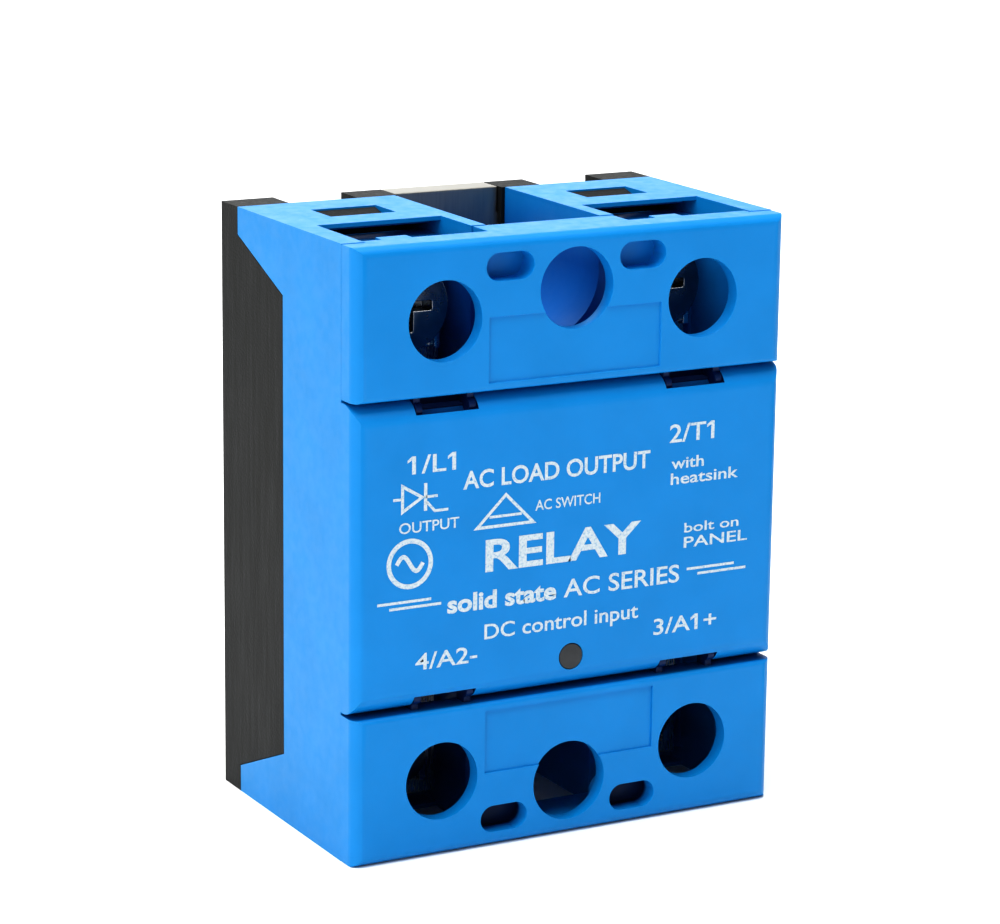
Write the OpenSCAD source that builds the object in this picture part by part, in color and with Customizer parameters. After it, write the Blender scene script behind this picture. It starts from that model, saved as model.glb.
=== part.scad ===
// Panel-mount solid state relay with two hinged terminal covers.
// +Z runs up the long way, +X to the right, the front faces -Y and the mounting face is y = 0.
// The origin is the centre of the mounting face. Millimetres.

/* [Body] */
// Width over the housing sides
body_w = 45.5; // [44:0.5:60]
// Height over the two wire ends
body_h = 58.2; // [57:0.2:75]
// Depth from the mounting face to the front
body_d = 29; // [28.5:0.5:40]
// Thickness of the side walls
side_wall = 2.3; // [1.9:0.1:2.8]
// Thickness of the front wall between the covers
front_wall = 2; // [1.5:0.1:2.5]
// Thickness of the two end walls
end_wall = 1; // [0.8:0.1:1.5]
// Radius of the upright front edges
edge_r = 1.3; // [0.6:0.1:1.8]
// Height of the fixed middle of the front
middle_h = 29.2; // [28:0.2:32]
// Radius that rolls the middle back into each groove
groove_r = 2.3; // [1.8:0.1:2.6]

/* [Base] */
// Thickness of the metal baseplate
plate_t = 3; // [2:0.1:3.2]
// Rim of black plastic beside the baseplate
rim_w = 1.8; // [1.4:0.1:2.4]
// Depth of the black frame round the baseplate
frame_d = 3.75; // [3.6:0.05:4.5]
// Depth that the frame's side ears reach
ear_d = 13.8; // [10:0.1:15]
// Height of a side ear at its front edge
ear_h = 44.5; // [36:0.5:46]
// Height of a side ear where it meets the rim
ear_foot_h = 52.8; // [48:0.2:55]
// Width of the bare baseplate at each wire end
tongue_w = 11.4; // [10:0.2:11.6]
// Width of the square tabs at the frame's corners
corner_tab_w = 5.4; // [4:0.1:6]
// Width of the tabs beside the bare baseplate
inner_tab_w = 4.3; // [3:0.1:4.6]
// Distance between the two mounting holes
mount_pitch = 47.6; // [45:0.2:50]
// Diameter of a mounting hole
mount_hole_d = 4.5; // [4:0.1:5.5]
// Width of the screw channel over each mounting hole
channel_w = 12.2; // [11:0.2:13]
// Thickness of the wall round the screw channel
channel_wall = 1.5; // [1:0.1:1.8]

/* [Latches] */
// Width of a latch window in the end wall
window_w = 6.8; // [5:0.1:8]
// Length of a latch window, front to back
window_l = 4.3; // [3:0.1:5]
// Depth at which a latch window starts
window_d = 8.3; // [6:0.1:9]
// Distance of a latch window from the middle
window_x = 13.8; // [13:0.1:14.5]

/* [Covers] */
// Depth of a cover's own side walls
cover_d = 2.8; // [2.4:0.1:3.2]
// Thickness of a cover's front
cover_t = 1.5; // [1.2:0.1:1.8]
// Thickness of a cover's upper and lower edge walls
cover_rim = 1.15; // [0.9:0.05:1.4]
// Gap between a cover and the middle of the front
cover_gap = 0.25; // [0.2:0.05:0.5]
// Radius of a cover's outer end edge
cover_end_r = 1; // [0.5:0.1:1.2]
// Radius of a cover's edge beside the groove
cover_hinge_r = 0.5; // [0.4:0.1:0.8]
// Diameter of the hole over a terminal screw
driver_hole_d = 7.5; // [6:0.1:8.5]
// Diameter of the hole over a mounting screw
access_hole_d = 7.7; // [6:0.1:9]
// Length of the oblong test slot
slot_l = 4.95; // [4:0.1:6]
// Height of the oblong test slot
slot_h = 2.6; // [2:0.1:3]
// Distance of a test slot from the middle
slot_x = 7; // [6.5:0.1:7.5]
// Distance of a test slot from the wire end
slot_inset = 2.73; // [2.4:0.01:4]
// Width of the sunk label panel
panel_w = 18.2; // [14:0.2:20]
// Height of the sunk label panel
panel_h = 6.1; // [4:0.1:7]
// Sink of the label panel
panel_sink = 0.2; // [0.05:0.01:0.3]
// Width of a hinge pocket in the middle's edge
pocket_w = 6.4; // [5:0.1:7]
// Diameter of a hinge pin
hinge_pin_d = 0.9; // [0.7:0.05:1]

/* [Power terminals] */
// Thread diameter of a power screw
power_d = 5; // [4:0.5:5]
// Head diameter of a power screw
power_head_d = 8.3; // [7:0.1:9]
// Head height of a power screw
power_head_h = 3.3; // [2:0.1:3.6]
// Width of a power nut
power_nut_w = 8; // [7:0.1:8.2]
// Thickness of a power nut
power_nut_t = 3.2; // [2.4:0.1:3.3]
// Width of a power clamp plate
power_clamp_w = 9.4; // [8:0.1:10.4]
// Thickness of a power clamp plate
power_clamp_t = 1.2; // [0.8:0.1:1.4]

/* [Control terminals] */
// Thread diameter of a control screw
control_d = 3; // [2.5:0.5:4]
// Head diameter of a control screw
control_head_d = 6; // [5:0.1:7]
// Head height of a control screw
control_head_h = 2.4; // [1.6:0.1:3]
// Width of a control nut
control_nut_w = 5.5; // [5:0.1:7]
// Thickness of a control nut
control_nut_t = 2.4; // [1.8:0.1:3.3]
// Width of a control clamp plate
control_clamp_w = 7.4; // [6:0.1:9]
// Thickness of a control clamp plate
control_clamp_t = 0.8; // [0.6:0.1:1.2]

/* [Terminal seats] */
// Depth of the plastic seat under each terminal
seat_d = 16; // [15.5:0.1:17]
// Thickness of the plastic seat
seat_t = 3.4; // [3.4:0.1:4]
// Thickness of the terminal metal
bar_t = 1; // [0.8:0.1:1.2]
// Width of the strip that leads inward from a terminal
strip_w = 6; // [4:0.1:6.2]
// Distance of a terminal from the housing side
terminal_inset = 9.13; // [9:0.01:10]
// Distance of a terminal from the wire end
terminal_drop = 7.3; // [7:0.1:9]
// Height of the wire opening's back edge
wire_d = 16.4; // [16.1:0.1:18]

/* [Circuit] */
// Width of the ceramic substrate
substrate_w = 35; // [30:0.5:36]
// Thickness of the ceramic substrate
substrate_t = 0.65; // [0.4:0.05:1]
// Thickness of the copper on the ceramic
copper_t = 0.3; // [0.2:0.05:0.4]
// Side of a thyristor chip
chip_w = 9.5; // [7:0.5:10]
// Thickness of a thyristor chip
chip_t = 0.35; // [0.3:0.05:0.5]
// Thickness of the driver board
board_t = 1.6; // [1:0.1:2]
// Space between the driver board and the front wall
board_gap = 5; // [4:0.1:6]
// Diameter of the status lens
lens_d = 2.5; // [2:0.1:4]
// Distance of the status lens below the middle
lens_drop = 11.5; // [10.5:0.1:11.8]

/* [Hidden] */
$fn = 64;

eps = 0.01;
over = 1;                 // how far a cutting tool runs past the face it opens
seam = 0.05;              // gap between two fixed plastic parts
fit = 0.05;               // radial clearance of a thread or a hinge pin
slack = 0.1;              // gap round a part that drops into a recess
free = 0.25;              // radial clearance of a hole that a thread only passes

half_w = body_w / 2;
half_h = body_h / 2;
inner_x = half_w - side_wall;
channel_x = channel_w / 2;
pocket_x = channel_x + channel_wall;
cover_back_d = body_d - cover_d;
middle_z = middle_h / 2;
cover_z = middle_z + cover_gap;
partition_z = middle_z - 2.05;
mount_z = mount_pitch / 2;
terminal_x = half_w - terminal_inset;
terminal_z = half_h - terminal_drop;
pad_d = seat_d + bar_t;

// Hinge axis of a cover: just inside the rolled edge of the middle
hinge_d = body_d - 1.25;
hinge_z = middle_z - 1;
eye_r = 0.7;
arm_w = 0.7;
arm_front = 0.15;
arm_back = 1.3;
pocket_floor_z = middle_z - 1.25;
pocket_back_d = body_d - 4.2;
hinge_pin_l = 0.9;

// Where the metal ends short of the wire opening
pad_end_z = half_h - 1.9;
pad_start_z = middle_z + 0.2;
seat_end_z = pad_end_z + slack;
seat_start_z = pad_start_z + bar_t + 0.2;
lip_t = 0.4;
pad_w = 2 * (min(terminal_x - pocket_x, inner_x - terminal_x) - 0.6);

// The board sits on posts behind the front wall
board_front_d = body_d - front_wall - board_gap;
board_back_d = board_front_d - board_t;
board_w = 2 * (inner_x - 0.6);
board_h = 2 * (partition_z - 0.8);
copper_d = plate_t + substrate_t;
chip_d = copper_d + copper_t;
substrate_top_z = pad_start_z + bar_t + 0.4;
substrate_low_z = -partition_z - 0.1;
clip_t = 0.4;
pin_x = 9;
pin_z = partition_z - 1.7;

// [screw, head, head height, nut, nut thickness, clamp, clamp thickness]
POWER = [power_d, power_head_d, power_head_h, power_nut_w, power_nut_t, power_clamp_w, power_clamp_t];
CONTROL = [control_d, control_head_d, control_head_h, control_nut_w, control_nut_t, control_clamp_w,
           control_clamp_t];

// ---- helpers: depth is measured from the mounting face towards the front ----

module box(x0, x1, d0, d1, z0, z1) translate([x0, -d1, z0]) cube([x1 - x0, d1 - d0, z1 - z0]);

// A cylinder that runs from depth d0 to depth d1
module rod(x, z, d, d0, d1) translate([x, -d0, z]) rotate([90, 0, 0]) cylinder(d = d, h = d1 - d0);

// A (y, z) outline carried along X
module across(x0, x1) translate([x0, 0, 0]) rotate([90, 0, 90]) linear_extrude(x1 - x0) children();

// Both sides of the middle plane
module both_sides() {
    children();
    mirror([1, 0, 0]) children();
}

// Both wire ends
module both_ends() {
    children();
    mirror([0, 0, 1]) children();
}

// Outline in (x, y) whose two front corners are rounded
module plan_outline(back_d) {
    translate([-half_w, -body_d + edge_r]) square([body_w, body_d - edge_r - back_d]);
    translate([-half_w + edge_r, -body_d]) square([body_w - 2 * edge_r, 2 * edge_r]);
    for (s = [-1, 1]) translate([s * (half_w - edge_r), -body_d + edge_r]) circle(edge_r);
}

// ---- base ----

module plate_outline() {
    side = half_w - rim_w - seam;
    translate([-side, -half_h + 2.6]) square([2 * side, body_h - 5.2]);
    translate([-tongue_w / 2, -half_h]) square([tongue_w, body_h]);
}

module baseplate() color([0.72, 0.72, 0.70]) difference() {
    rotate([90, 0, 0]) linear_extrude(plate_t) plate_outline();
    for (s = [-1, 1]) rod(0, s * mount_z, mount_hole_d, -over, plate_t + over);
}

// Side ear of the frame in (y, z); grow widens it for the cut in the housing
module ear_outline(grow) {
    foot = ear_foot_h / 2 + grow;
    edge = ear_h / 2 + grow;
    polygon([[-frame_d + eps + grow, -foot], [-frame_d - grow, -foot], [-ear_d - grow, -edge],
             [-ear_d - grow, edge], [-frame_d - grow, foot], [-frame_d + eps + grow, foot]]);
}

// Spring arm with a sloping head that fills the window of the end wall
module latch() {
    arm_z = half_h - end_wall - slack;
    head_back = window_d + slack;
    head_front = window_d + window_l - slack;
    across(window_x - window_w / 2 + slack, window_x + window_w / 2 - slack)
        polygon([[-frame_d + eps, arm_z - 1.1], [-frame_d + eps, arm_z], [-head_back, arm_z],
                 [-head_back, half_h - 0.15], [-head_front, arm_z - 0.1], [-head_front, arm_z - 1.1]]);
}

module base_frame() color([0.20, 0.20, 0.20]) {
    back = 0.1;
    gap_end = half_h - 1.2;
    difference() {
        union() {
            box(-half_w, half_w, back, frame_d, -gap_end, gap_end);
            both_ends() both_sides() {
                box(half_w - corner_tab_w, half_w, back, frame_d, gap_end - over, half_h);
                box(tongue_w / 2 + seam, tongue_w / 2 + seam + inner_tab_w, back, frame_d,
                    gap_end - over, half_h);
            }
        }
        // pocket that takes the baseplate, with a lip in front of its edge
        box(-half_w + rim_w, half_w - rim_w, -over, plate_t + seam, -half_h + 2.55, half_h - 2.55);
        box(-half_w + rim_w + 1.2, half_w - rim_w - 1.2, 0, frame_d + over, -half_h + 3.8, half_h - 3.8);
        box(-tongue_w / 2 - seam, tongue_w / 2 + seam, -over, frame_d + over, -half_h - over,
            half_h + over);
    }
    // crossbar in front of the plate that joins the two halves below each screw channel
    both_ends() box(-half_w + rim_w + 1, half_w - rim_w - 1, plate_t + seam, frame_d,
                    mount_z - pocket_x + 0.2, mount_z - channel_x - 0.2);
    both_sides() across(inner_x, half_w) ear_outline(0);
    both_ends() both_sides() latch();
}

// ---- housing ----

// Side outline in (y, z): full height behind the covers, the rolled middle in front
module side_outline() {
    translate([-cover_back_d, -half_h]) square([cover_back_d - frame_d - seam, body_h]);
    translate([-body_d + groove_r, -middle_z]) square([body_d - groove_r - 10, middle_h]);
    translate([-body_d, -middle_z + groove_r]) square([2 * groove_r, middle_h - 2 * groove_r]);
    for (s = [-1, 1]) translate([-body_d + groove_r, s * (middle_z - groove_r)]) circle(groove_r);
}

// Solid round the screw channel at the upper end, seen along Y
module channel_block(d0, d1, half, top) {
    box(-half, half, d0, d1, mount_z, top);
    rod(0, mount_z, 2 * half, d0, d1);
}

// Everything that is cut for one terminal of the upper right corner
module terminal_cut() {
    box(pocket_x, inner_x, seat_d, cover_back_d + over, middle_z, half_h - end_wall);
    box(pocket_x, inner_x, wire_d, cover_back_d + over, half_h - end_wall - over, half_h + over);
    // slot under the seat for the strip, and the dark gap under the lip at the wire end
    box(terminal_x - strip_w / 2 - 0.2, terminal_x + strip_w / 2 + 0.2, seat_d - seat_t - over,
        pad_d + 0.2, partition_z - over, seat_start_z);
    box(pocket_x, inner_x, seat_d - seat_t - over, seat_d + over, seat_end_z, half_h - end_wall);
    box(pocket_x, inner_x, wire_d - 2.4, seat_d + over, seat_end_z, half_h - lip_t);
}

module nut_cut(size) {
    half = size[3] / 2 + slack;
    box(terminal_x - half, terminal_x + half, seat_d - seat_t - over, seat_d + over,
        terminal_z - half, terminal_z + half);
}

module hinge_pocket() {
    x0 = terminal_x - 0.4 - pocket_w / 2;
    box(x0, x0 + pocket_w, pocket_back_d, body_d + over, pocket_floor_z, middle_z + over);
    across(x0, x0 + pocket_w) translate([-hinge_d, hinge_z]) circle(eye_r + 0.2);
    across(x0 - hinge_pin_l - slack, x0 + pocket_w + hinge_pin_l + slack)
        translate([-hinge_d, hinge_z]) circle(d = hinge_pin_d + 2 * fit);
}

module housing() color([0.12, 0.53, 0.90]) {
    back_cavity_d = seat_d - seat_t;
    difference() {
        intersection() {
            across(-half_w, half_w) side_outline();
            translate([0, 0, -half_h]) linear_extrude(body_h) plan_outline(0);
        }
        // hollow behind the terminals, leaving the two channel walls
        difference() {
            box(-inner_x, inner_x, 0, back_cavity_d, -half_h + end_wall, half_h - end_wall);
            both_ends() channel_block(-over, back_cavity_d + over, pocket_x, half_h);
        }
        // hollow behind the middle of the front
        box(-inner_x, inner_x, back_cavity_d - over, body_d - front_wall, -partition_z, partition_z);
        both_ends() {
            both_sides() {
                terminal_cut();
                hinge_pocket();
                box(window_x - window_w / 2, window_x + window_w / 2, window_d, window_d + window_l,
                    half_h - end_wall - over, half_h + over);
            }
            channel_block(-over, cover_back_d + over, channel_x, half_h + over);
            // the channel walls stop short of the cover's end wall
            box(-pocket_x, pocket_x, body_d - 6.6, cover_back_d + over, middle_z + 1.2, half_h + over);
        }
        both_sides() nut_cut(POWER);
        mirror([0, 0, 1]) both_sides() nut_cut(CONTROL);
        both_sides() across(inner_x, half_w + over) ear_outline(seam);
        rod(0, -lens_drop, lens_d + 2 * fit, board_front_d - over, body_d + over);
    }
    // posts for the driver board
    for (sx = [-1, 1], sz = [-1, 1])
        box(sx * (inner_x - 1.9) - 1.2, sx * (inner_x - 1.9) + 1.2, board_front_d,
            body_d - front_wall + eps, sz * (partition_z - 2) - 1.2, sz * (partition_z - 2) + 1.2);
}

// ---- covers ----

// Cover outline in (y, z): long radius at the wire end, short one beside the groove
module cover_outline() {
    top = half_h - 0.05;
    translate([-body_d + cover_end_r, cover_z]) square([cover_d - cover_end_r, top - cover_z]);
    translate([-body_d, cover_z + cover_hinge_r])
        square([2 * cover_end_r, top - cover_z - cover_hinge_r - cover_end_r]);
    translate([-body_d + cover_hinge_r, cover_z]) square([1, 2]);
    translate([-body_d + cover_end_r, top - cover_end_r]) circle(cover_end_r);
    translate([-body_d + cover_hinge_r, cover_z + cover_hinge_r]) circle(cover_hinge_r);
}

// Oblong block to the right of the middle, larger than the slot by a margin all round
module slot_block(margin, d0, d1) {
    z = half_h - slot_inset;
    run = slot_l - slot_h;
    high = slot_h + 2 * margin;
    box(slot_x - run / 2, slot_x + run / 2, d0, d1, z - high / 2, z + high / 2);
    for (s = [-1, 1]) rod(slot_x + s * run / 2, z, high, d0, d1);
}

// Two arms that hang from the cover into the ends of a hinge pocket, each with a pin outward
module hinge_arms() {
    x0 = terminal_x - 0.4 - pocket_w / 2;
    x1 = x0 + pocket_w;
    for (x = [x0 + slack, x1 - slack - arm_w]) across(x, x + arm_w) {
        translate([-hinge_d, hinge_z]) circle(eye_r);
        translate([-hinge_d - arm_front, hinge_z])
            square([arm_front + arm_back, cover_z + 0.5 - hinge_z]);
    }
    for (x = [x0 - hinge_pin_l, x1 - slack - eps]) across(x, x + hinge_pin_l + slack + eps)
        translate([-hinge_d, hinge_z]) circle(d = hinge_pin_d);
}

module cover_part() color([0.14, 0.56, 0.92]) {
    top = half_h - 0.05;
    skirt_back_d = body_d - 3.6;
    guard_back_d = body_d - 6.5;
    difference() {
        union() {
            difference() {
                intersection() {
                    across(-half_w, half_w) cover_outline();
                    translate([0, 0, cover_z]) linear_extrude(top - cover_z) plan_outline(0);
                }
                box(-half_w + cover_t, half_w - cover_t, cover_back_d - over, body_d - cover_t,
                    cover_z + cover_rim, top - cover_rim);
            }
            // skirt over the wire openings, with its two short tongues
            both_sides() box(pocket_x - over, inner_x - 0.15, skirt_back_d, body_d - cover_t,
                             top - cover_rim, top);
            box(-terminal_x - 4.7, -terminal_x - 1.6, skirt_back_d - 1.3, skirt_back_d + over,
                top - cover_rim, top);
            box(terminal_x - 3.2, terminal_x - 0.3, skirt_back_d - 1.3, skirt_back_d + over,
                top - cover_rim, top);
            // end wall that closes the channel in front of the mounting screw
            box(-pocket_x + 0.15, pocket_x - 0.15, guard_back_d, body_d - cover_t + eps,
                top - cover_rim, top);
            // boss behind each blind slot
            both_sides() slot_block(0.7, cover_back_d, body_d - cover_t + eps);
        }
        both_sides() {
            rod(terminal_x, terminal_z, driver_hole_d, cover_back_d - over, body_d + over);
            slot_block(0, cover_back_d + 0.6, body_d + over);
        }
        rod(0, mount_z, access_hole_d, cover_back_d - over, body_d + over);
        box(-panel_w / 2, panel_w / 2, body_d - panel_sink, body_d + over, cover_z + 0.8,
            cover_z + 0.8 + panel_h);
    }
    both_sides() hinge_arms();
}

module upper_cover() cover_part();
module lower_cover() rotate([0, 180, 0]) cover_part();

// ---- terminals: sx is -1 left or 1 right, sz is -1 lower or 1 upper ----

// Flat seat for the wire with its clearance hole
module terminal_pad(sx, sz, size) {
    difference() {
        box(sx * terminal_x - pad_w / 2, sx * terminal_x + pad_w / 2, seat_d, pad_d,
            min(sz * pad_start_z, sz * pad_end_z), max(sz * pad_start_z, sz * pad_end_z));
        rod(sx * terminal_x, sz * terminal_z, size[0] + 2 * free, seat_d - over, pad_d + over);
    }
}

// Power terminal: the strip runs back to a foot on the copper
module power_terminal(sx) color([0.80, 0.79, 0.75]) {
    x0 = sx * terminal_x - strip_w / 2;
    terminal_pad(sx, 1, POWER);
    box(x0, x0 + strip_w, chip_d, pad_d, pad_start_z, pad_start_z + bar_t);
    box(x0, x0 + strip_w, chip_d, chip_d + bar_t, pad_start_z - 3.6, pad_start_z + eps);
}

// Control terminal: the strip runs inward and turns forward to the driver board
module control_terminal(sx) color([0.80, 0.79, 0.75]) {
    x0 = sx * terminal_x - strip_w / 2 + 1;
    turn_z = -partition_z + 1.6;
    terminal_pad(sx, -1, CONTROL);
    box(x0, x0 + strip_w - 2, seat_d, pad_d, -pad_start_z - eps, turn_z);
    box(x0, x0 + strip_w - 2, seat_d, board_back_d, turn_z - bar_t, turn_z);
}

module terminal_l1() power_terminal(-1);
module terminal_t1() power_terminal(1);
module terminal_a1() control_terminal(1);
module terminal_a2() control_terminal(-1);

// Square nut held in the seat behind the terminal
module nut(sx, sz, size) color([0.70, 0.70, 0.68]) difference() {
    box(sx * terminal_x - size[3] / 2, sx * terminal_x + size[3] / 2, seat_d - size[4], seat_d,
        sz * terminal_z - size[3] / 2, sz * terminal_z + size[3] / 2);
    rod(sx * terminal_x, sz * terminal_z, size[0] + 2 * fit, seat_d - size[4] - over, seat_d + over);
}

module nut_l1() nut(-1, 1, POWER);
module nut_t1() nut(1, 1, POWER);
module nut_a1() nut(1, -1, CONTROL);
module nut_a2() nut(-1, -1, CONTROL);

// Self-lifting clamp plate with two turned-up edges
module clamp(sx, sz, size) color([0.78, 0.78, 0.74]) {
    side = size[5];
    low = pad_d + seam;
    lip = 0.7;
    difference() {
        union() {
            box(sx * terminal_x - side / 2, sx * terminal_x + side / 2, low, low + size[6],
                sz * terminal_z - side / 2, sz * terminal_z + side / 2);
            for (s = [-1, 1])
                box(sx * terminal_x + s * (side - lip) / 2 - lip / 2,
                    sx * terminal_x + s * (side - lip) / 2 + lip / 2, low, low + size[6] + 0.8,
                    sz * terminal_z - side / 2, sz * terminal_z + side / 2);
        }
        rod(sx * terminal_x, sz * terminal_z, size[0] + 2 * free, low - over, low + 3);
        rod(sx * terminal_x, sz * terminal_z, size[1] + 2 * slack, low + size[6], low + 3);
    }
}

module clamp_l1() clamp(-1, 1, POWER);
module clamp_t1() clamp(1, 1, POWER);
module clamp_a1() clamp(1, -1, CONTROL);
module clamp_a2() clamp(-1, -1, CONTROL);

// Pan-head screw with a cross recess
module screw(sx, sz, size) color([0.76, 0.76, 0.73]) {
    x = sx * terminal_x;
    z = sz * terminal_z;
    under = pad_d + seam + size[6] + seam;
    top = under + size[2];
    blade = size[1] * 0.11;
    reach = size[1] * 0.29;
    difference() {
        union() {
            rod(x, z, size[1], under, top);
            rod(x, z, size[0], seat_d - size[4] - 1, under + eps);
        }
        box(x - reach, x + reach, top - size[2] * 0.6, top + over, z - blade / 2, z + blade / 2);
        box(x - blade / 2, x + blade / 2, top - size[2] * 0.6, top + over, z - reach, z + reach);
    }
}

module screw_l1() screw(-1, 1, POWER);
module screw_t1() screw(1, 1, POWER);
module screw_a1() screw(1, -1, CONTROL);
module screw_a2() screw(-1, -1, CONTROL);

// ---- power circuit on the baseplate ----

module substrate() color([0.93, 0.92, 0.88])
    box(-substrate_w / 2, substrate_w / 2, plate_t, copper_d, substrate_low_z, substrate_top_z);

module copper_track(sx) color([0.80, 0.50, 0.30])
    box(min(sx * 0.6, sx * (substrate_w / 2 - 0.5)), max(sx * 0.6, sx * (substrate_w / 2 - 0.5)),
        copper_d, chip_d, substrate_low_z + 0.5, substrate_top_z - 0.3);

module copper_left() copper_track(-1);
module copper_right() copper_track(1);

module thyristor(sx) color([0.35, 0.36, 0.40])
    box(sx * 8.8 - chip_w / 2, sx * 8.8 + chip_w / 2, chip_d, chip_d + chip_t, -chip_w / 2, chip_w / 2);

module thyristor_a() thyristor(-1);
module thyristor_b() thyristor(1);

// Copper clip from the top of one chip to the track of the other
module clip_part() color([0.82, 0.52, 0.32]) {
    over_d = chip_d + chip_t;
    box(-11.5, 2.9, over_d, over_d + clip_t, 0.8, 4.2);
    box(0.9, 2.9, chip_d, over_d + eps, 0.8, 4.2);
}

module clip_a() clip_part();
module clip_b() rotate([0, 180, 0]) clip_part();

module board_pin(sx, sz) color([0.80, 0.78, 0.72]) rod(sx * pin_x, sz * pin_z, 0.8, chip_d, board_back_d);

module gate_pin_a() board_pin(-1, -1);
module gate_pin_b() board_pin(1, -1);
module snubber_pin_a() board_pin(-1, 1);
module snubber_pin_b() board_pin(1, 1);

// ---- driver board and what it carries ----

module driver_board() color([0.10, 0.38, 0.20])
    box(-board_w / 2, board_w / 2, board_back_d, board_front_d, -board_h / 2, board_h / 2);

module optocoupler() color([0.12, 0.12, 0.12])
    box(-4.5, 4.5, board_back_d - 3.5, board_back_d, -9, -2.6);

module snubber_capacitor() color([0.75, 0.62, 0.20])
    box(-18.5, -5.5, board_back_d - 10.5, board_back_d, 2, 8);

module snubber_resistor() color([0.45, 0.55, 0.62]) translate([5, -board_back_d + 1.9, -5])
    rotate([0, 90, 0]) cylinder(d = 3.8, h = 9);

module input_resistor() color([0.72, 0.60, 0.42]) translate([-15, -board_back_d + 1.2, -7])
    rotate([0, 90, 0]) cylinder(d = 2.4, h = 6.5);

module varistor() color([0.15, 0.35, 0.65]) translate([10.5, -board_back_d + 5.5, 4.5])
    cylinder(d = 11, h = 4.5);

module status_led() color([0.50, 0.80, 0.45])
    rod(0, -lens_drop, lens_d, board_front_d, body_d - front_wall - 1.6);

module led_lens() color([0.30, 0.31, 0.32])
    rod(0, -lens_drop, lens_d, body_d - front_wall - 1.5, body_d);

baseplate();
base_frame();
housing();
substrate();
copper_left();
copper_right();
thyristor_a();
thyristor_b();
clip_a();
clip_b();
gate_pin_a();
gate_pin_b();
snubber_pin_a();
snubber_pin_b();
driver_board();
optocoupler();
snubber_capacitor();
snubber_resistor();
input_resistor();
varistor();
status_led();
led_lens();
terminal_l1();
terminal_t1();
terminal_a1();
terminal_a2();
nut_l1();
nut_t1();
nut_a1();
nut_a2();
clamp_l1();
clamp_t1();
clamp_a1();
clamp_a2();
screw_l1();
screw_t1();
screw_a1();
screw_a2();
upper_cover();
lower_cover();
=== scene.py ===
import math

import bmesh
import bpy
import numpy as np
from mathutils import Matrix, Vector


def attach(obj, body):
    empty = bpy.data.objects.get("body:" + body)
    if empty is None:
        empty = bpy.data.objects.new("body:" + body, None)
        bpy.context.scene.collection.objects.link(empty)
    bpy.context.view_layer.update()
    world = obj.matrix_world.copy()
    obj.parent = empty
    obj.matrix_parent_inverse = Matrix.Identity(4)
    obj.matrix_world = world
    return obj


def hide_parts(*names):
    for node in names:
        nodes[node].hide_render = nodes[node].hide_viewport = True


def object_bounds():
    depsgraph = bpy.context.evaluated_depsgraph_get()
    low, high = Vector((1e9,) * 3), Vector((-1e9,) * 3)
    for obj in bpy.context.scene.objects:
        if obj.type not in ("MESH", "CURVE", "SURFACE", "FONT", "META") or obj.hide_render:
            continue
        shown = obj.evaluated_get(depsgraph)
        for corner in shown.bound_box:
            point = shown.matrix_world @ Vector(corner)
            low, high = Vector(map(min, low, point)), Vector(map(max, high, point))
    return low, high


# A panel-mount solid state relay with two hinged terminal covers, in metres. It stands on its
# lower wire end, its front looks along -Y and its metal baseplate lies on the plane y = 0.
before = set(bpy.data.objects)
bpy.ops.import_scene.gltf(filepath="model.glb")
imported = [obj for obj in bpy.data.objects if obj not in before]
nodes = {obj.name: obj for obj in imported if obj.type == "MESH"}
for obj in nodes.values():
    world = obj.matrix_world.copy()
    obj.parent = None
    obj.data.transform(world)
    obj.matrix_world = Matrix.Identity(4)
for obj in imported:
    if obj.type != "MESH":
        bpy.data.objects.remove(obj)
cad_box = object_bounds()
scene = bpy.context.scene

# ---------------------------------------------------------------- camera
# A long lens a little above the relay and round to its left, level to within a degree.
view = bpy.data.cameras.new("view")
view.sensor_width = 36.0
view.lens = 123.7
view.clip_start = 0.01
view.clip_end = 20.0
camera = bpy.data.objects.new("view", view)
scene.collection.objects.link(camera)
turn, lift, tilt = math.radians(-28.717), math.radians(13.557), math.radians(0.707)
away = Vector((math.sin(turn) * math.cos(lift), -math.cos(turn) * math.cos(lift), math.sin(lift)))
aim = Vector((0.00061, -0.0135, 0.0039))
distance = 0.33378
camera.location = aim + away * distance
camera.rotation_mode = "QUATERNION"
camera.rotation_quaternion = away.to_track_quat("Z", "Y") @ Matrix.Rotation(tilt, 3, "Z").to_quaternion()
scene.camera = camera


# ---------------------------------------------------------------- blue housing
# One injection moulding in glass-filled polyamide, coloured through. The tool leaves small
# radii on every edge, a fine satin grain and faint darker and lighter flow clouds.
def moulded_copy(name, node, radius):
    """A copy of a CAD solid: equal points merged, faces in one plane joined, and every edge that
    turns by more than edge_angle rounded to the radius. Normals follow the larger faces."""
    merge_gap = 0.000002
    flat_angle = math.radians(1.0)
    edge_angle = math.radians(32.0)
    mesh = nodes[node].data.copy()
    mesh.name = name
    shell = bmesh.new()
    shell.from_mesh(mesh)
    bmesh.ops.remove_doubles(shell, verts=shell.verts, dist=merge_gap)
    bmesh.ops.dissolve_limit(shell, angle_limit=flat_angle, verts=shell.verts, edges=shell.edges,
                             delimit={"NORMAL"})
    shell.to_mesh(mesh)
    shell.free()
    mesh.materials.clear()
    mesh.polygons.foreach_set("use_smooth", np.ones(len(mesh.polygons), bool))
    piece = bpy.data.objects.new(name, mesh)
    scene.collection.objects.link(piece)
    bevel = piece.modifiers.new("edge_radius", "BEVEL")
    bevel.width = radius
    bevel.segments = 2
    bevel.limit_method = "ANGLE"
    bevel.angle_limit = edge_angle
    bevel.use_clamp_overlap = True
    bevel.miter_outer = "MITER_ARC"
    flats = piece.modifiers.new("flat_faces", "WEIGHTED_NORMAL")
    flats.weight = 100
    return piece


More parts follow.
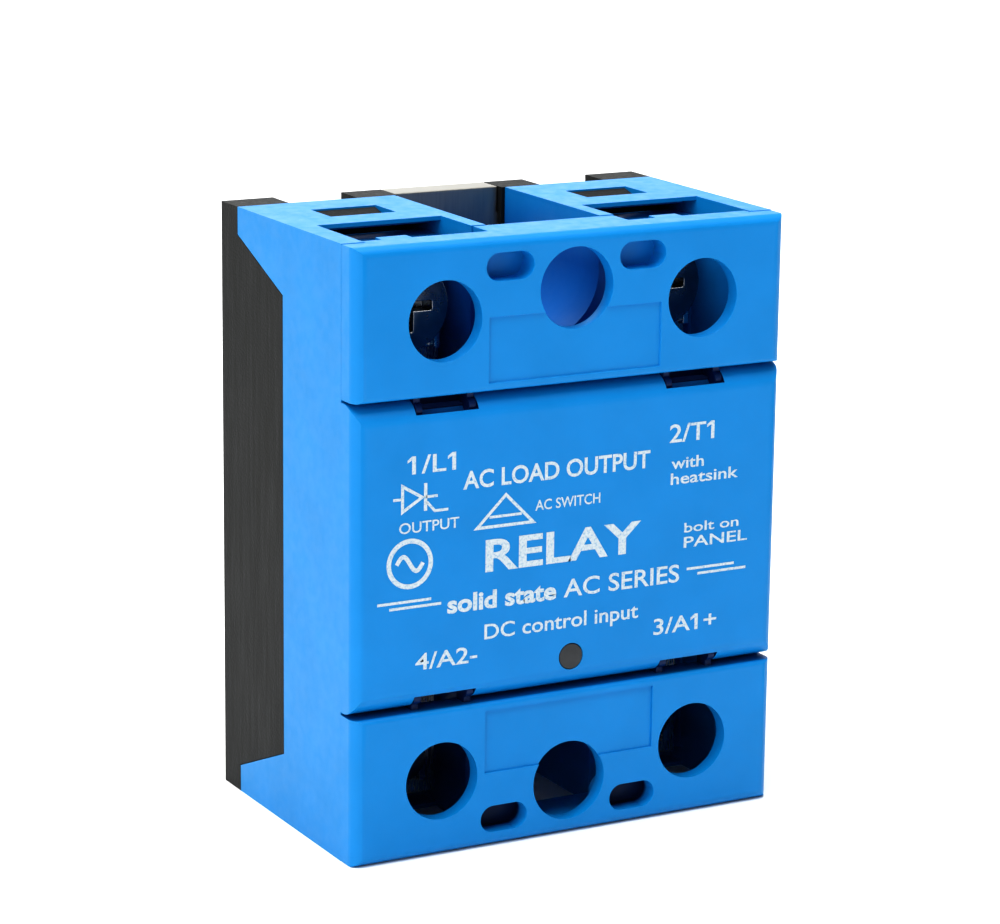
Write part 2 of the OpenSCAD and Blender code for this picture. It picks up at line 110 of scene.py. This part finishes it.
def shader(name):
    """A new node material with its principled shader, its links and the object coordinates."""
    material = bpy.data.materials.new(name)
    material.use_nodes = True
    tree = material.node_tree
    coat = tree.nodes["Principled BSDF"]
    place = tree.nodes.new("ShaderNodeTexCoord").outputs["Object"]
    return material, tree, coat, place


def noise(tree, place, size, detail, stretch=(1.0, 1.0, 1.0)):
    """Noise whose lumps are about size metres across: each coordinate is divided by size times its
    stretch, so a stretch above one draws the lumps out along that axis."""
    mapping = tree.nodes.new("ShaderNodeMapping")
    mapping.inputs["Scale"].default_value = [1.0 / (size * s) for s in stretch]
    tree.links.new(place, mapping.inputs["Vector"])
    cloud = tree.nodes.new("ShaderNodeTexNoise")
    cloud.inputs["Scale"].default_value = 1.0
    cloud.inputs["Detail"].default_value = detail
    tree.links.new(mapping.outputs["Vector"], cloud.inputs["Vector"])
    return cloud.outputs["Fac"]


def ramp(tree, value, stops):
    """A colour ramp through (position, colour) stops."""
    node = tree.nodes.new("ShaderNodeValToRGB")
    bar = node.color_ramp
    while len(bar.elements) < len(stops):
        bar.elements.new(0.5)
    for element, (position, colour) in zip(bar.elements, stops):
        element.position = position
        element.color = tuple(colour) + (1.0,)
    tree.links.new(value, node.inputs["Fac"])
    return node.outputs["Color"]


def spread(tree, value, low, high):
    """Carries the range 0.3 to 0.7, where most of a noise lies, over to the range low to high."""
    node = tree.nodes.new("ShaderNodeMapRange")
    node.inputs["From Min"].default_value = 0.3
    node.inputs["From Max"].default_value = 0.7
    node.inputs["To Min"].default_value = low
    node.inputs["To Max"].default_value = high
    tree.links.new(value, node.inputs["Value"])
    return node.outputs["Result"]


def bumps(tree, coat, layers):
    """Adds (height, strength, distance) layers of bump one on another and feeds the normal."""
    normal = None
    for height, strength, distance in layers:
        bump = tree.nodes.new("ShaderNodeBump")
        bump.inputs["Strength"].default_value = strength
        bump.inputs["Distance"].default_value = distance
        tree.links.new(height, bump.inputs["Height"])
        if normal:
            tree.links.new(normal, bump.inputs["Normal"])
        normal = bump.outputs["Normal"]
    tree.links.new(normal, coat.inputs["Normal"])


def rise(tree, place, axis, start, end):
    """Goes from 0 to 1 as a coordinate goes from start to end. An axis in bars, such as |X|, stands
    for the coordinate without its sign."""
    part = tree.nodes.new("ShaderNodeSeparateXYZ")
    tree.links.new(place, part.inputs["Vector"])
    value = part.outputs[axis.strip("|")]
    if "|" in axis:
        size = tree.nodes.new("ShaderNodeMath")
        size.operation = "ABSOLUTE"
        tree.links.new(value, size.inputs[0])
        value = size.outputs["Value"]
    slope = tree.nodes.new("ShaderNodeMapRange")
    slope.inputs["From Min"].default_value = start
    slope.inputs["From Max"].default_value = end
    tree.links.new(value, slope.inputs["Value"])
    return slope.outputs["Result"]


def blue_polyamide(name, deep, clear, painted_shades):
    """Blue satin moulding: flow clouds in the colour, fine grain and slight sink in the surface.
    Each shade is a darker colour painted where all of its ranges hold, as their product. It stands
    in for the dimness inside holes and pockets, and lies by place, not by how deep a face is."""
    material, tree, coat, place = shader(name)
    colour = ramp(tree, noise(tree, place, 0.006, 5.0), [(0.30, deep), (0.72, clear)])
    # Painted shade: each entry mixes its darker colour over the blue wherever its mask holds.
    for painted_shade_colour, ranges in painted_shades:
        mask = None
        for axis, start, end in ranges:
            here = rise(tree, place, axis, start, end)
            if mask:
                both = tree.nodes.new("ShaderNodeMath")
                both.operation = "MULTIPLY"
                tree.links.new(mask, both.inputs[0])
                tree.links.new(here, both.inputs[1])
                here = both.outputs["Value"]
            mask = here
        tint = tree.nodes.new("ShaderNodeMixRGB")
        tint.inputs["Color2"].default_value = tuple(painted_shade_colour) + (1.0,)
        tree.links.new(mask, tint.inputs["Fac"])
        tree.links.new(colour, tint.inputs["Color1"])
        colour = tint.outputs["Color"]
    tree.links.new(colour, coat.inputs["Base Color"])
    grain = noise(tree, place, 0.00012, 2.0)
    sink = noise(tree, place, 0.0016, 2.0)
    tree.links.new(spread(tree, noise(tree, place, 0.0011, 3.0), 0.36, 0.47), coat.inputs["Roughness"])
    coat.inputs["IOR"].default_value = 1.46
    coat.inputs["Specular IOR Level"].default_value = 0.36
    bumps(tree, coat, [(sink, 0.25, 0.00002), (grain, 0.50, 0.000008)])
    return material


# Painted shade: darker blues painted by position inside the middle channel, the terminal pockets and the
# hinge pockets, standing for the shadow that lies in them.
off_wire_end = ("|Z|", 0.0285, 0.0245)
under_front = ("|Y|", 0.0262, 0.0250)
channel_painted_shade = ((0.003, 0.125, 0.410), [off_wire_end, ("|X|", 0.0069, 0.0068), under_front])
terminal_pocket_painted_shade = ((0.002, 0.065, 0.260), [
    off_wire_end, ("|X|", 0.0068, 0.0069), ("|X|", 0.0206, 0.0200), under_front])
hinge_pocket_painted_shade = ((0.001, 0.020, 0.090), [
    ("|Z|", 0.01331, 0.01334), ("|Z|", 0.0151, 0.0150), ("|X|", 0.00999, 0.01001),
    ("|X|", 0.01645, 0.01643), ("|Y|", 0.02475, 0.02479)])
housing_blue = blue_polyamide("housing_blue", (0.002, 0.222, 0.545), (0.004, 0.240, 0.590),
                              [channel_painted_shade, terminal_pocket_painted_shade, hinge_pocket_painted_shade])
housing = moulded_copy("housing_shell", "housing", 0.00016)
spots = np.empty(len(housing.data.vertices) * 3)
housing.data.vertices.foreach_get("co", spots)
spots = spots.reshape(-1, 3)
ink_bed_y = -0.02898        # the front face is taken back to here, to leave room for the ink
spots[:, 1] = np.maximum(spots[:, 1], ink_bed_y)
housing.data.vertices.foreach_set("co", spots.ravel())
housing.data.materials.append(housing_blue)
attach(housing, "relay")
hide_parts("housing")

# ---------------------------------------------------------------- printed marks
# White pad print on the middle of the front: terminal numbers, plain words and symbols. The
# ink is a hundredth of a millimetre thick and slightly porous, so the blue shows in specks.
face_y = -0.0290
ink_thickness = 0.00001


def pad_ink():
    """Matt white ink, broken up by fine pores through which the blue shows."""
    material, tree, coat, place = shader("pad_ink")
    pores = noise(tree, place, 0.00022, 3.0)
    tree.links.new(ramp(tree, pores, [(0.32, (0.26, 0.44, 0.62)), (0.43, (0.50, 0.58, 0.62)),
                                      (0.70, (0.62, 0.67, 0.70))]), coat.inputs["Base Color"])
    coat.inputs["Roughness"].default_value = 0.6
    bumps(tree, coat, [(pores, 0.2, 0.000004)])
    return material


def lay_ink(name, points, faces):
    """Puts a print of flat outlines, given as points (x, z) in millimetres and faces, on the housing:
    each outline lies at face_y and is drawn back by the ink's thickness."""
    millimetre = 0.001
    flat = np.asarray(points, float) * millimetre
    front = np.column_stack((flat[:, 0], np.full(len(flat), face_y), flat[:, 1]))
    mesh = bpy.data.meshes.new(name)
    mesh.from_pydata(front.tolist(), [], faces)
    shell = bmesh.new()
    shell.from_mesh(mesh)
    for face in list(shell.faces):
        if face.normal.y > 0:
            face.normal_flip()
    layer = bmesh.ops.extrude_face_region(shell, geom=list(shell.faces))
    for part in layer["geom"]:
        if isinstance(part, bmesh.types.BMVert):
            part.co.y += ink_thickness
    bmesh.ops.recalc_face_normals(shell, faces=shell.faces)
    shell.to_mesh(mesh)
    shell.free()
    mesh.materials.append(ink)
    piece = bpy.data.objects.new(name, mesh)
    scene.collection.objects.link(piece)
    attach(piece, "relay")
    return piece


def ink_words(name, words, left, right, base, cap, weight=0.0):
    """Words on a base line z: x is stretched so that they fill left to right, and heights are scaled
    by cap over the font's own capital height. Weight thickens the strokes, in the font's units."""
    font_cap = 0.729
    curve = bpy.data.curves.new(name, "FONT")
    curve.body = words
    curve.offset = weight
    curve.resolution_u = 4
    source = bpy.data.objects.new(name + "_curve", curve)
    scene.collection.objects.link(source)
    bpy.context.view_layer.update()
    outline = bpy.data.meshes.new_from_object(source.evaluated_get(bpy.context.evaluated_depsgraph_get()))
    spots = np.empty(len(outline.vertices) * 3)
    outline.vertices.foreach_get("co", spots)
    spots = spots.reshape(-1, 3)[:, :2]
    faces = [tuple(face.vertices) for face in outline.polygons]
    bpy.data.objects.remove(source)
    bpy.data.curves.remove(curve)
    bpy.data.meshes.remove(outline)
    low, high = spots.min(0), spots.max(0)
    placed = np.column_stack((left + (spots[:, 0] - low[0]) * (right - left) / (high[0] - low[0]),
                              base + spots[:, 1] * cap / font_cap))
    lay_ink(name, placed, faces)


def ink_stroke(name, path, width, closed=False):
    """A line of even width along points (x, z): each point is moved half the width to both sides, along
    the sum of the unit normals of its two stretches divided by one plus their dot product."""
    path = np.asarray(path, float)
    ahead = np.roll(path, -1, 0) - path
    if not closed:
        ahead[-1] = ahead[-2]
    ahead /= np.linalg.norm(ahead, axis=1, keepdims=True)
    behind = np.roll(ahead, 1, 0)
    if not closed:
        behind[0] = ahead[0]
    side_a = np.column_stack((-behind[:, 1], behind[:, 0]))
    side_b = np.column_stack((-ahead[:, 1], ahead[:, 0]))
    out = (side_a + side_b) / (1.0 + (side_a * side_b).sum(1, keepdims=True)) * width / 2
    points = np.vstack((path + out, path - out))
    n = len(path)
    steps = np.arange(n if closed else n - 1)
    after = (steps + 1) % n
    faces = np.column_stack((steps, after, after + n, steps + n)).tolist()
    lay_ink(name, points, faces)


def ink_flag(name, stem, top):
    """The slanting stroke of a digit 1: four corners, two on the stem's left edge and two a reach
    to the left of it. It drops to the left and is a little narrower there."""
    reach, low, middle = 0.46, 0.62, 0.34
    lay_ink(name, np.array([(stem - reach, top - low), (stem, top - middle),
                            (stem, top), (stem - reach, top - middle)]), [(0, 1, 2, 3)])


ink = pad_ink()
ink_words("mark_1_l1", "1/L1", -16.95, -12.44, 7.96, 1.74, 0.012)
ink_flag("flag_1", -16.95, 9.617)
ink_flag("flag_l1", -12.835, 9.617)
ink_flag("flag_t1", 14.929, 9.824)
ink_flag("flag_a1", 13.624, -9.058)
ink_words("mark_2_t1", "2/T1", 10.34, 15.29, 8.11, 1.80, 0.012)
ink_words("mark_3_a1", "3/A1+", 9.04, 16.08, -10.60, 1.62, 0.012)
ink_words("mark_4_a2", "4/A2-", -16.50, -10.04, -10.66, 1.62, 0.012)
ink_words("words_load", "AC LOAD OUTPUT", -11.68, 8.25, 5.98, 1.72, 0.020)
ink_words("words_output", "OUTPUT", -18.23, -12.06, 2.46, 1.05, 0.010)
ink_words("words_switch", "AC SWITCH", -4.08, 2.88, 3.13, 1.02, 0.013)
ink_words("words_with", "with", 10.60, 14.20, 5.52, 1.15, 0.014)
ink_words("words_heatsink", "heatsink", 10.56, 18.09, 4.00, 1.15, 0.014)
ink_words("words_bolt", "bolt on", 12.20, 18.30, -0.85, 0.98, 0.012)
ink_words("words_panel", "PANEL", 12.18, 19.32, -2.35, 1.10, 0.012)
ink_words("words_relay", "RELAY", -9.28, 7.40, -2.10, 3.10, 0.022)
ink_words("words_solid_state", "solid state", -13.22, -1.70, -5.62, 1.72, 0.034)
ink_words("words_type", "AC SERIES", -0.90, 11.77, -5.62, 1.78, 0.012)
ink_words("words_input", "DC control input", -9.31, 7.29, -8.62, 1.50, 0.012)
ink_stroke("bar_left_upper", [(-20.43, -4.00), (-14.90, -4.00)], 0.26)
ink_stroke("bar_left_lower", [(-19.20, -4.56), (-13.86, -4.56)], 0.26)
ink_stroke("bar_right_upper", [(12.59, -4.50), (17.90, -4.50)], 0.26)
ink_stroke("bar_right_lower", [(13.80, -5.06), (19.24, -5.06)], 0.26)
ink_stroke("triangle", [(-10.2, 2.10), (-4.3, 2.10), (-7.2, 5.0)], 0.30, True)
ink_stroke("triangle_bar", [(-8.9, 3.02), (-5.5, 3.02)], 0.26)
ring_x, ring_z, ring_radius = -17.12, -0.44, 2.15
wave_reach, wave_height = 1.35, 0.72
around = np.linspace(0.0, 2 * np.pi, 65)[:-1]
ink_stroke("wave_ring", np.column_stack((ring_x + ring_radius * np.cos(around),
                                         ring_z + ring_radius * np.sin(around))), 0.46, True)
along = np.linspace(-1.0, 1.0, 25)
ink_stroke("wave", np.column_stack((ring_x + wave_reach * along,
                                    ring_z - wave_height * np.sin(np.pi * along))), 0.42)
ink_stroke("valve_left", [(-17.9, 4.5), (-17.9, 6.9), (-15.9, 5.7)], 0.30, True)
ink_stroke("valve_bar", [(-15.55, 4.4), (-15.55, 7.0)], 0.34)
ink_stroke("valve_lead_in", [(-18.85, 5.7), (-18.0, 5.7)], 0.26)
ink_stroke("valve_lead_out", [(-15.5, 5.7), (-14.3, 5.7)], 0.26)
ink_stroke("valve_gate", [(-15.4, 5.2), (-14.6, 4.3), (-13.2, 4.3)], 0.26)

# ---------------------------------------------------------------- terminal covers
# Two equal mouldings of the same polyamide, snapped into the middle of the front by two arms
# each. Their edges are a little softer than the housing's.
# Painted shade: the hinge arms and the floors of the lower slots are painted dark navy, standing for the
# shadow in the hinge pockets and the slots.
hinge_arm_painted_shade = ((0.001, 0.020, 0.090), [("|Z|", 0.01486, 0.01484)])
lower_slot_painted_shade = ((0.001, 0.014, 0.060), [
    ("Z", -0.02772, -0.02771), ("Z", -0.02501, -0.02502), ("|X|", 0.0043, 0.0044),
    ("|X|", 0.0097, 0.0096), ("|Y|", 0.0265, 0.0266), ("|Y|", 0.0277, 0.0272)])
cover_blue = blue_polyamide("cover_blue", (0.002, 0.223, 0.548), (0.004, 0.241, 0.592),
                            [hinge_arm_painted_shade, lower_slot_painted_shade])
for name in ("upper_cover", "lower_cover"):
    cover = moulded_copy(name + "_shell", name, 0.00022)
    cover.data.materials.append(cover_blue)
    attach(cover, name)
    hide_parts(name)


# ---------------------------------------------------------------- black frame
# Black glass-filled polyester, clipped behind the housing and round the baseplate. Fine tool
# marks run up the flank, some of them paler, over a dry and slightly pitted grain.
def black_polyester(name):
    """Matt black moulding: streaks drawn out along Z set colour and roughness, with pits and grain."""
    material, tree, coat, place = shader(name)
    streaks = noise(tree, place, 0.0005, 4.0, (1.0, 1.0, 14.0))
    tree.links.new(ramp(tree, streaks, [(0.25, (0.011, 0.012, 0.012)), (0.60, (0.016, 0.017, 0.016)),
                                        (0.85, (0.026, 0.027, 0.024))]), coat.inputs["Base Color"])
    tree.links.new(spread(tree, streaks, 0.50, 0.64), coat.inputs["Roughness"])
    coat.inputs["Specular IOR Level"].default_value = 0.22
    grain = noise(tree, place, 0.00025, 4.0)
    pits = noise(tree, place, 0.0006, 4.0)
    bumps(tree, coat, [(streaks, 0.5, 0.00002), (pits, 0.5, 0.00003), (grain, 1.0, 0.00004)])
    return material


frame_black = black_polyester("frame_black")
rim = moulded_copy("frame_shell", "base_frame", 0.00015)
rim.data.materials.append(frame_black)
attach(rim, "relay")
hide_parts("base_frame")


# ---------------------------------------------------------------- baseplate
# A flat plate stamped from sheet and nickel plated. It keeps faint rolling lines along its
# length, and the plating is a little darker in wide patches.
def rolled_metal(name, dark, light, rough, run, tarnish_size=0.004):
    """Metal whose colour follows the mean of fine lines, drawn out by the factors in run, and a wider
    cloud of tarnish. Roughness runs from 0.06 below to 0.08 above rough, with the lines."""
    material, tree, coat, place = shader(name)
    lines = noise(tree, place, 0.0002, 4.0, run)
    tarnish = noise(tree, place, tarnish_size, 2.0)
    blend = tree.nodes.new("ShaderNodeMath")
    blend.operation = "ADD"
    half = tree.nodes.new("ShaderNodeMath")
    half.operation = "MULTIPLY"
    half.inputs[1].default_value = 0.5
    tree.links.new(lines, blend.inputs[0])
    tree.links.new(tarnish, blend.inputs[1])
    tree.links.new(blend.outputs["Value"], half.inputs[0])
    tree.links.new(ramp(tree, half.outputs["Value"], [(0.35, dark), (0.65, light)]),
                   coat.inputs["Base Color"])
    tree.links.new(spread(tree, lines, rough - 0.06, rough + 0.08), coat.inputs["Roughness"])
    coat.inputs["Metallic"].default_value = 1.0
    bumps(tree, coat, [(lines, 0.15, 0.000004)])
    return material


plate_metal = rolled_metal("plate_metal", (0.33, 0.32, 0.29), (0.43, 0.42, 0.38), 0.42,
                           (1.0, 1.0, 24.0), tarnish_size=0.016)
plate = moulded_copy("baseplate_sheet", "baseplate", 0.00012)
plate.data.materials.append(plate_metal)
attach(plate, "relay")
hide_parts("baseplate")

# ---------------------------------------------------------------- terminals, nuts, clamps, screws
# Four screw terminals, two for the load and two for the control side. Each is a bent, tinned
# strip over a captive nut, with a zinc-plated clamp plate that its screw carries up and down.
tinned_metal = rolled_metal("tinned_metal", (0.60, 0.59, 0.56), (0.80, 0.79, 0.75), 0.26, (1.0, 1.0, 10.0))
zinc_metal = rolled_metal("zinc_metal", (0.55, 0.56, 0.55), (0.78, 0.78, 0.74), 0.22, (6.0, 1.0, 1.0))
screw_metal = rolled_metal("screw_metal", (0.20, 0.21, 0.22), (0.36, 0.37, 0.38), 0.24, (12.0, 12.0, 12.0))
for mark in ("l1", "t1", "a1", "a2"):
    for kind, body, metal, slot, edge in (
            ("terminal", "relay", tinned_metal, "tinned_metal", 0.00012),
            ("nut", "relay", zinc_metal, "nut_metal", 0.00020),
            ("clamp", "clamp_" + mark, zinc_metal, "clamp_metal", 0.00014),
            ("screw", "screw_" + mark, screw_metal, "screw_metal", 0.00012)):
        node = kind + "_" + mark
        piece = moulded_copy(node + "_piece", node, edge)
        piece.data.materials.append(metal)
        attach(piece, body)
        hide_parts(node)


# ---------------------------------------------------------------- circuit
# Two power chips on copper tracks and a ceramic plate, laid on the baseplate, and a driver board
# on four posts behind the front. Four pins join them, and only the dark lens shows from outside.
def plain_finish(name, dark, light, rough, metal):
    """A finish whose colour follows a cloud of noise from dark to light, with a fine grain."""
    cloud_size, grain_size = 0.0015, 0.0002
    material, tree, coat, place = shader(name)
    tree.links.new(ramp(tree, noise(tree, place, cloud_size, 4.0), [(0.35, dark), (0.68, light)]),
                   coat.inputs["Base Color"])
    coat.inputs["Roughness"].default_value = rough
    coat.inputs["Metallic"].default_value = metal
    bumps(tree, coat, [(noise(tree, place, grain_size, 2.0), 0.3, 0.000008)])
    return material


circuit_looks = {           # dark tone, light tone, roughness, metallic
    "ceramic_white": ((0.74, 0.73, 0.69), (0.86, 0.85, 0.81), 0.5, 0.0),
    "copper": ((0.55, 0.24, 0.12), (0.74, 0.36, 0.20), 0.30, 1.0),
    "silicon": ((0.10, 0.10, 0.12), (0.20, 0.21, 0.24), 0.25, 0.0),
    "tinned_metal": ((0.60, 0.59, 0.56), (0.80, 0.79, 0.75), 0.25, 1.0),
    "board_green": ((0.008, 0.085, 0.030), (0.014, 0.130, 0.045), 0.30, 0.0),
    "chip_black": ((0.010, 0.010, 0.010), (0.022, 0.022, 0.022), 0.55, 0.0),
    "capacitor_yellow": ((0.50, 0.33, 0.02), (0.62, 0.42, 0.03), 0.35, 0.0),
    "resistor_grey": ((0.15, 0.24, 0.32), (0.22, 0.32, 0.40), 0.45, 0.0),
    "resistor_tan": ((0.45, 0.30, 0.14), (0.56, 0.40, 0.20), 0.45, 0.0),
    "varistor_blue": ((0.01, 0.08, 0.30), (0.02, 0.12, 0.40), 0.35, 0.0),
    "led_green": ((0.12, 0.45, 0.10), (0.20, 0.60, 0.16), 0.15, 0.0),
    "lens_grey": ((0.016, 0.019, 0.022), (0.028, 0.032, 0.036), 0.14, 0.0),
}
finishes = {slot: plain_finish("circuit_" + slot, *look) for slot, look in circuit_looks.items()}
circuit = {
    "substrate": "ceramic_white",
    "copper_left": "copper",
    "copper_right": "copper",
    "thyristor_a": "silicon",
    "thyristor_b": "silicon",
    "clip_a": "copper",
    "clip_b": "copper",
    "gate_pin_a": "tinned_metal",
    "gate_pin_b": "tinned_metal",
    "snubber_pin_a": "tinned_metal",
    "snubber_pin_b": "tinned_metal",
    "driver_board": "board_green",
    "optocoupler": "chip_black",
    "snubber_capacitor": "capacitor_yellow",
    "snubber_resistor": "resistor_grey",
    "input_resistor": "resistor_tan",
    "varistor": "varistor_blue",
    "status_led": "led_green",
    "led_lens": "lens_grey",
}
for node, slot in circuit.items():
    piece = moulded_copy(node + "_piece", node, 0.00008)
    piece.data.materials.append(finishes[slot])
    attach(piece, "relay")
    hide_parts(node)

# ---------------------------------------------------------------- floor and light
# A plain matt white floor under the lower wire end. Three soft boxes light the relay from
# above, from the left and from behind, and a dim cool world fills the shadows.
floor_z = cad_box[0][2]
floor_reach = 3.0
floor_mesh = bpy.data.meshes.new("floor")
floor_mesh.from_pydata([(-floor_reach, -floor_reach, floor_z), (floor_reach, -floor_reach, floor_z),
                        (floor_reach, floor_reach, floor_z), (-floor_reach, floor_reach, floor_z)],
                       [], [(0, 1, 2, 3)])
floor = bpy.data.objects.new("floor", floor_mesh)
scene.collection.objects.link(floor)
floor_white, _, coat, _ = shader("floor_white")
coat.inputs["Base Color"].default_value = (0.92, 0.92, 0.92, 1.0)
coat.inputs["Roughness"].default_value = 0.9
coat.inputs["Specular IOR Level"].default_value = 0.0
floor_mesh.materials.append(floor_white)

world = bpy.data.worlds.new("studio")
scene.world = world
world.use_nodes = True
world.node_tree.nodes["Background"].inputs["Color"].default_value = (0.96, 0.98, 1.0, 1.0)
world.node_tree.nodes["Background"].inputs["Strength"].default_value = 0.28


def softbox(name, centre, size, radiance):
    """A square area light that faces the middle of the relay. Its power is its radiance times pi
    times its area, so it looks equally bright at any size."""
    data = bpy.data.lights.new(name, "AREA")
    data.shape = "SQUARE"
    data.size = size
    data.energy = radiance * math.pi * size * size
    lamp = bpy.data.objects.new(name, data)
    lamp.location = centre
    lamp.rotation_mode = "QUATERNION"
    lamp.rotation_quaternion = (Vector(centre) - relay_middle).to_track_quat("Z", "Y")
    scene.collection.objects.link(lamp)


relay_middle = Vector((0.0, -0.014, 0.0))
softbox("top_box", (-0.10, -0.02, 0.95), 1.0, 4.0)
softbox("left_box", (-1.00, -0.45, 0.48), 0.8, 2.0)
softbox("back_box", (0.35, 1.50, 0.50), 1.3, 1.1)
scene.view_settings.view_transform = "Standard"
scene.view_settings.look = "High Contrast"
